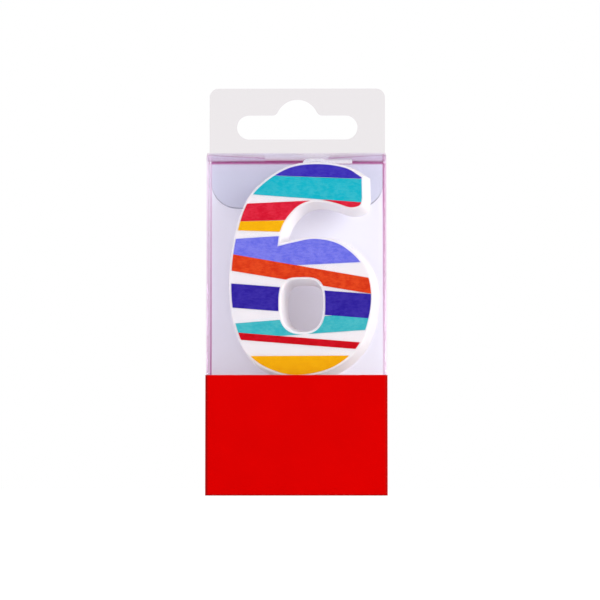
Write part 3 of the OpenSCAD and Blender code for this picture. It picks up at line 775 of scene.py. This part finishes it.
def sleeve_piece():
    """Front, sides and back of the box in one wrapped film, the back going on up as the hang tab."""
    b = bmesh.new()
    glow = b.verts.layers.float.new("fold")
    levels = list(np.linspace(SLEEVE_FOOT, SLEEVE_TOP, SLEEVE_ROWS))
    path = sleeve_path()
    grid = [[b.verts.new((x, y, z)) for z in levels] for x, y in path]
    for first, second in zip(grid, grid[1:]):
        for k in range(len(levels) - 1):
            b.faces.new((first[k], second[k], second[k + 1], first[k + 1]))
    tall = [b.verts.new((x, y, FRONT_TOP)) for x, y in path]
    for i in range(len(path) - 1):
        if abs(path[i][1] - path[i + 1][1]) < FLAT_Y:
            b.faces.new((grid[i][-1], grid[i + 1][-1], tall[i + 1], tall[i]))
    front = [c[0] for c, (x, y) in zip(grid, path) if abs(y + FILM_Y) < SAME]
    foot = [b.verts.new((v.co.x, v.co.y, FRONT_FOOT)) for v in front]
    b.faces.new((foot[0], foot[1], front[1], front[0]))
    outline = [b.verts.new((x, FILM_Y, z)) for x, z in back_outline(levels + [FRONT_TOP])]
    slot = [b.verts.new((x, FILM_Y, z)) for x, z in euro_slot()]
    cap(b, [outline, slot])
    bmesh.ops.remove_doubles(b, verts=b.verts, dist=SAME)
    for v in b.verts:
        v[glow] = painted_crease_glow(*v.co)
    bmesh.ops.recalc_face_normals(b, faces=b.faces)
    piece = new_object("film_sleeve", as_mesh(b, "film_sleeve"), FILM)
    piece.data.materials.append(BACK_FILM)
    for face in piece.data.polygons:
        face.material_index = int(face.center.y > (FILM_Y - ON_BACK) * MM)
    thickened(piece)
    smooth(piece)
    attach(piece, "pack")
    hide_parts("front_panel", "back_panel", "left_panel", "right_panel")


def flap_piece(name, strip, plate, glow_at, edge_w, material):
    """A flap in one sheet: a fold of several rows, each row given by its two ends, and a flat plate after it.

    The fold and the plate's cut edge, a strip edge_w wide, carry painted glow as strongly as glow_at says.
    """
    fold_glow, edge_glow = glow_at
    b = bmesh.new()
    glow = b.verts.layers.float.new("fold")
    rows = [[b.verts.new(p) for p in row] for row in strip]
    for first, second in zip(rows, rows[1:]):
        b.faces.new((first[0], first[1], second[1], second[0]))
    flat = b.faces.new(rows[-1][::-1] + [b.verts.new(p) for p in plate])
    for v in b.verts:
        v[glow] = edge_glow
    for v in (v for row in rows for v in row):
        v[glow] = fold_glow
    outline = set(b.verts)
    bmesh.ops.inset_region(b, faces=[flat], thickness=edge_w, use_even_offset=True, use_boundary=True)
    for v in b.verts:
        if v not in outline:
            v[glow] = 0
    bmesh.ops.recalc_face_normals(b, faces=b.faces)
    piece = new_object(name, as_mesh(b, name), material)
    thickened(piece)
    smooth(piece)
    return piece


def point(x, y, z):
    """A place given in millimetres, in metres."""
    return (x * MM, y * MM, z * MM)


# Lid and tuck flap: half widths, the lid's shoulder, the tuck's foot, corners, depth in Y and crease, how
# strongly painted glow lies on fold and cut edge, and how wide that edge is. The tuck is 0.4 mm wider at each
# side than its solid, with rounder corners and a foot 0.3 mm higher, to meet the photograph.
LID_HALF = 23.1
LID_SHOULDER = 0.2
LID_GLOW = (0.0, 0.3)
CUT_EDGE_W = 0.22
TUCK_HALF = 22.8
TUCK_FOOT = 76.15
TUCK_R = 7.0
TUCK_Y = 9.15
TUCK_CREASE = 0.28
TUCK_GLOW = (1.0, 0.5)
TUCK_EDGE_W = 0.7


def lid_piece():
    """The lid and the fold that joins it to the front."""
    fold = arc(-FILM_Y + FOLD_R, FRONT_TOP, FOLD_R, 180, 90, 6)
    strip = [((-FLAT_X, y, z), (FLAT_X, y, z)) for y, z in fold]
    far = TUCK_Y - FOLD_R
    near = fold[-1][0]
    wide = near + LID_SHOULDER
    corners = [(-LID_HALF, wide), (-LID_HALF, far), (LID_HALF, far), (LID_HALF, wide)]
    plate = [(x, y, LID_Z) for x, y in corners]
    piece = flap_piece("lid_film", strip, plate, LID_GLOW, CUT_EDGE_W, FILM)
    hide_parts("lid_panel")
    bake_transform(piece)


def tuck_piece():
    """The tuck flap and the fold that joins it to the lid's far edge."""
    fold = arc(TUCK_Y - FOLD_R, LID_Z - FOLD_R, FOLD_R, 90, 0, 6)
    fold.append((TUCK_Y, LID_Z - FOLD_R - TUCK_CREASE))
    strip = [((-TUCK_HALF, y, z), (TUCK_HALF, y, z)) for y, z in fold]
    corners = arc(-TUCK_HALF + TUCK_R, TUCK_FOOT + TUCK_R, TUCK_R, 180, 270, 16)
    corners += arc(TUCK_HALF - TUCK_R, TUCK_FOOT + TUCK_R, TUCK_R, 270, 360, 16)
    plate = [(x, TUCK_Y, z) for x, z in corners]
    piece = flap_piece("tuck_film", strip, plate, TUCK_GLOW, TUCK_EDGE_W, SHADED_FLAP_FILM)
    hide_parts("tuck_flap")
    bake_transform(piece)


# The dust flaps: front and back ends of their folds, reach, corners, root, tapers in degrees and painted
# glow.
DUST_FRONT = -9.2
DUST_BACK = 5.6
DUST_REACH = 14.8
DUST_R = 1.2
DUST_ROOT = 0.25
DUST_FRONT_TAPER = 25
DUST_BACK_TAPER = 8
DUST_GLOW = (0.15, 0.5)


def rounded_corner(a, corner, c, r, steps):
    """A round of radius r at a corner between two straight edges."""
    a, corner, c = (np.array(p, float) for p in (a, corner, c))
    u = (a - corner) / np.linalg.norm(a - corner)
    v = (c - corner) / np.linalg.norm(c - corner)
    half = math.acos(np.clip(u @ v, -1, 1)) / 2
    centre = corner + (u + v) / np.linalg.norm(u + v) * r / math.sin(half)
    first = corner + u * r / math.tan(half) - centre
    last = corner + v * r / math.tan(half) - centre
    points = []
    for t in np.linspace(0, 1, steps):
        way = first * (1 - t) + last * t
        points.append(tuple(centre + r * way / np.linalg.norm(way)))
    return points


def dust_piece(side, name):
    """A dust flap and the fold that joins it to its side of the box; side is -1 for left."""
    fold = arc(FILM_X - FOLD_R, SLEEVE_TOP, FOLD_R, 0, 90, 6)
    strip = [((side * x, DUST_FRONT, z), (side * x, DUST_BACK, z)) for x, z in fold]
    tip = FILM_X - DUST_REACH
    tip_front = DUST_FRONT + (DUST_REACH - DUST_ROOT) * math.tan(math.radians(DUST_FRONT_TAPER))
    tip_back = DUST_BACK - (DUST_REACH - DUST_ROOT) * math.tan(math.radians(DUST_BACK_TAPER))
    root = fold[-1][0]
    outline = rounded_corner((root, DUST_FRONT), (tip, tip_front), (tip, tip_back), DUST_R, 8)
    outline += rounded_corner((tip, tip_front), (tip, tip_back), (root, DUST_BACK), DUST_R, 8)
    plate = [(side * x, y, DUST_Z) for x, y in outline]
    piece = flap_piece(name, strip, plate, DUST_GLOW, CUT_EDGE_W, FILM)
    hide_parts("dust_flap_left" if side < 0 else "dust_flap_right")
    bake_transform(piece)


def dress_nodes():
    """Gives the CAD solids that stay their materials."""
    finishes = {
        "red_band": RED, "card_support": CARD, "cake_pick": PICK, "seam_flap": FILM, "base_panel": FILM,
        "base_tuck": FILM, "base_flap_left": FILM, "base_flap_right": FILM,
    }
    for name, material in finishes.items():
        slots = nodes[name].material_slots
        for slot in slots:
            slot.material = material
        if not slots:
            nodes[name].data.materials.append(material)


def to_eye(tree):
    """A socket that is 1 where the camera looks, straight, in a mirror or through glass."""
    path = add(tree, "ShaderNodeLightPath").outputs
    seen = path["Is Camera Ray"]
    for other in ("Is Glossy Ray", "Is Transmission Ray"):
        seen = add(tree, "ShaderNodeMath", {0: seen, 1: path[other]}, operation="MAXIMUM").outputs[0]
    return seen


# The stage: half the floor's side in metres, how much of the floor shows plain white and how bright, then the
# sheet behind the box, with its gap and foot in millimetres. The sheet gives back more light than it gets,
# for the light that white surroundings bounce onto it.
FLOOR_HALF = 3
FLOOR_WHITE = 0.75
FLOOR_STRENGTH = 1.2
SHEET_GAP = 0.3
SHEET_FOOT = 30.0
SHEET_WHITE = (1.09, 1.215, 1.315, 1)
SHEET_GLOW = "#6c6258"


def white_floor():
    """A pale floor that shows white to the camera and keeps a soft shadow."""
    material, tree, output = new_material("pale_floor")
    share = add(tree, "ShaderNodeMath", {0: to_eye(tree), 1: FLOOR_WHITE}, operation="MULTIPLY")
    matt = add(tree, "ShaderNodeBsdfPrincipled",
               {"Base Color": linear("#f4f4f4"), "Roughness": 0.9, "Specular IOR Level": 0.0})
    glow = add(tree, "ShaderNodeEmission", {"Color": linear("#ffffff"), "Strength": FLOOR_STRENGTH})
    parts = {0: share.outputs[0], 1: matt.outputs[0], 2: glow.outputs[0]}
    show(tree, output, add(tree, "ShaderNodeMixShader", parts))
    corners = [(x * FLOOR_HALF, y * FLOOR_HALF, 0) for x, y in ((-1, -1), (1, -1), (1, 1), (-1, 1))]
    mesh = bpy.data.meshes.new("floor")
    mesh.from_pydata(corners, [], [(0, 1, 2, 3)])
    new_object("floor", mesh, material)


def white_backdrop():
    """The white sheet that the photograph shows close behind the film; it has one side only."""
    material, tree, output = new_material("white_backdrop")
    matt = add(tree, "ShaderNodeBsdfDiffuse", {"Color": SHEET_WHITE})
    glow = add(tree, "ShaderNodeEmission", {"Color": linear(SHEET_GLOW)})
    lit = add(tree, "ShaderNodeAddShader", {0: matt.outputs[0], 1: glow.outputs[0]})
    none = add(tree, "ShaderNodeBsdfTransparent")
    side = add(tree, "ShaderNodeNewGeometry").outputs["Backfacing"]
    show(tree, output, add(tree, "ShaderNodeMixShader", {0: side, 1: lit.outputs[0], 2: none.outputs[0]}))
    y = BOX_D / 2 + SHEET_GAP
    corners = [(-FILM_X, SHEET_FOOT), (FILM_X, SHEET_FOOT), (FILM_X, BOX_H), (-FILM_X, BOX_H)]
    mesh = bpy.data.meshes.new("backdrop")
    mesh.from_pydata([point(x, y, z) for x, z in corners], [], [(0, 1, 2, 3)])
    sheet = new_object("backdrop", mesh, material)
    for kind in ("transmission", "volume_scatter", "shadow"):
        setattr(sheet, "visible_" + kind, False)


# The light: the world's strength, how far its front is dimmed in reflections and where, and the softboxes:
# width and height, watts, colour and place. All of them face the middle of the box.
WORLD_LIGHT = 0.61
FRONT_DIM = 0.04
FRONT_FROM = (-0.85, -0.3)
LIGHT_AIM = Vector((0, 0, 0.05))
SOFTBOXES = {
    "softbox_right": ((0.5, 0.6), 6.2, "#fffdfc", (0.8, -0.7, 0.3)),
    "softbox_low_right": ((0.3, 0.1), 2.1, "#fffafc", (0.8, -0.24, 0.06)),
    "softbox_left": ((0.4, 0.6), 1.4, "#eceaff", (-0.9, -0.45, 0.25)),
    "softbox_low_left": ((0.3, 0.1), 2.0, "#f4f0ff", (-0.8, -0.24, 0.06)),
}


def softbox(name, size, watts, colour, place):
    """A rectangular lamp that faces the box."""
    light = bpy.data.lights.new(name, "AREA")
    light.color = linear(colour)[:3]
    light.shape = "RECTANGLE"
    light.size, light.size_y = size
    light.energy = watts
    lamp = bpy.data.objects.new(name, light)
    lamp.location = place
    lamp.rotation_euler = (LIGHT_AIM - Vector(place)).to_track_quat("-Z", "Y").to_euler()
    bpy.context.scene.collection.objects.link(lamp)


def studio():
    """White surroundings, soft light all round, dimmer front reflections, and softboxes at right and left."""
    world = bpy.data.worlds.new("studio")
    bpy.context.scene.world = world
    world.use_nodes = True
    tree = world.node_tree
    tree.nodes.clear()
    glossy = add(tree, "ShaderNodeLightPath").outputs["Is Glossy Ray"]
    way = add(tree, "ShaderNodeTexCoord").outputs["Generated"]
    depth = add(tree, "ShaderNodeSeparateXYZ", {0: way}).outputs["Y"]
    dimmed = {0: depth, 1: FRONT_FROM[0], 2: FRONT_FROM[1], 3: FRONT_DIM, 4: 1.0}
    front = add(tree, "ShaderNodeMapRange", dimmed).outputs[0]
    level = add(tree, "ShaderNodeMix", {0: glossy, 2: 1.0, 3: front}).outputs[0]
    light = add(tree, "ShaderNodeBackground", {"Color": linear("#fcfdff"), "Strength": WORLD_LIGHT})
    white = add(tree, "ShaderNodeBackground", {"Color": linear("#ffffff"), "Strength": level})
    both = add(tree, "ShaderNodeMixShader", {0: to_eye(tree), 1: light.outputs[0], 2: white.outputs[0]})
    add(tree, "ShaderNodeOutputWorld", {"Surface": both.outputs[0]})
    for name, (size, watts, colour, place) in SOFTBOXES.items():
        softbox(name, size, watts, colour, place)


# The photograph's viewpoint: far off, near the floor, a little to the right.
SENSOR = 36
FOCAL_LENGTH = 177.1
CAMERA_AT = (0.00893, -0.7701, 0.00232)
CAMERA_WAY = Vector((-0.01052, 1.0, 0.06345))


def camera():
    """The camera at the photograph's viewpoint, with all depths in focus."""
    lens = bpy.data.cameras.new("camera")
    lens.sensor_width = SENSOR
    lens.lens = FOCAL_LENGTH
    lens.clip_start = 0.01
    lens.clip_end = 20
    view = bpy.data.objects.new("camera", lens)
    view.location = CAMERA_AT
    view.rotation_euler = CAMERA_WAY.to_track_quat("-Z", "Y").to_euler()
    bpy.context.scene.collection.objects.link(view)
    bpy.context.scene.camera = view


bpy.context.scene.view_settings.view_transform = "Standard"
bpy.context.scene.cycles.transparent_max_bounces = 32
camera()
studio()
white_floor()
white_backdrop()
dress_nodes()
sleeve_piece()
lid_piece()
tuck_piece()
dust_piece(-1, "dust_film_left")
dust_piece(1, "dust_film_right")
wax_piece()
stripe_pieces()
wick_piece()
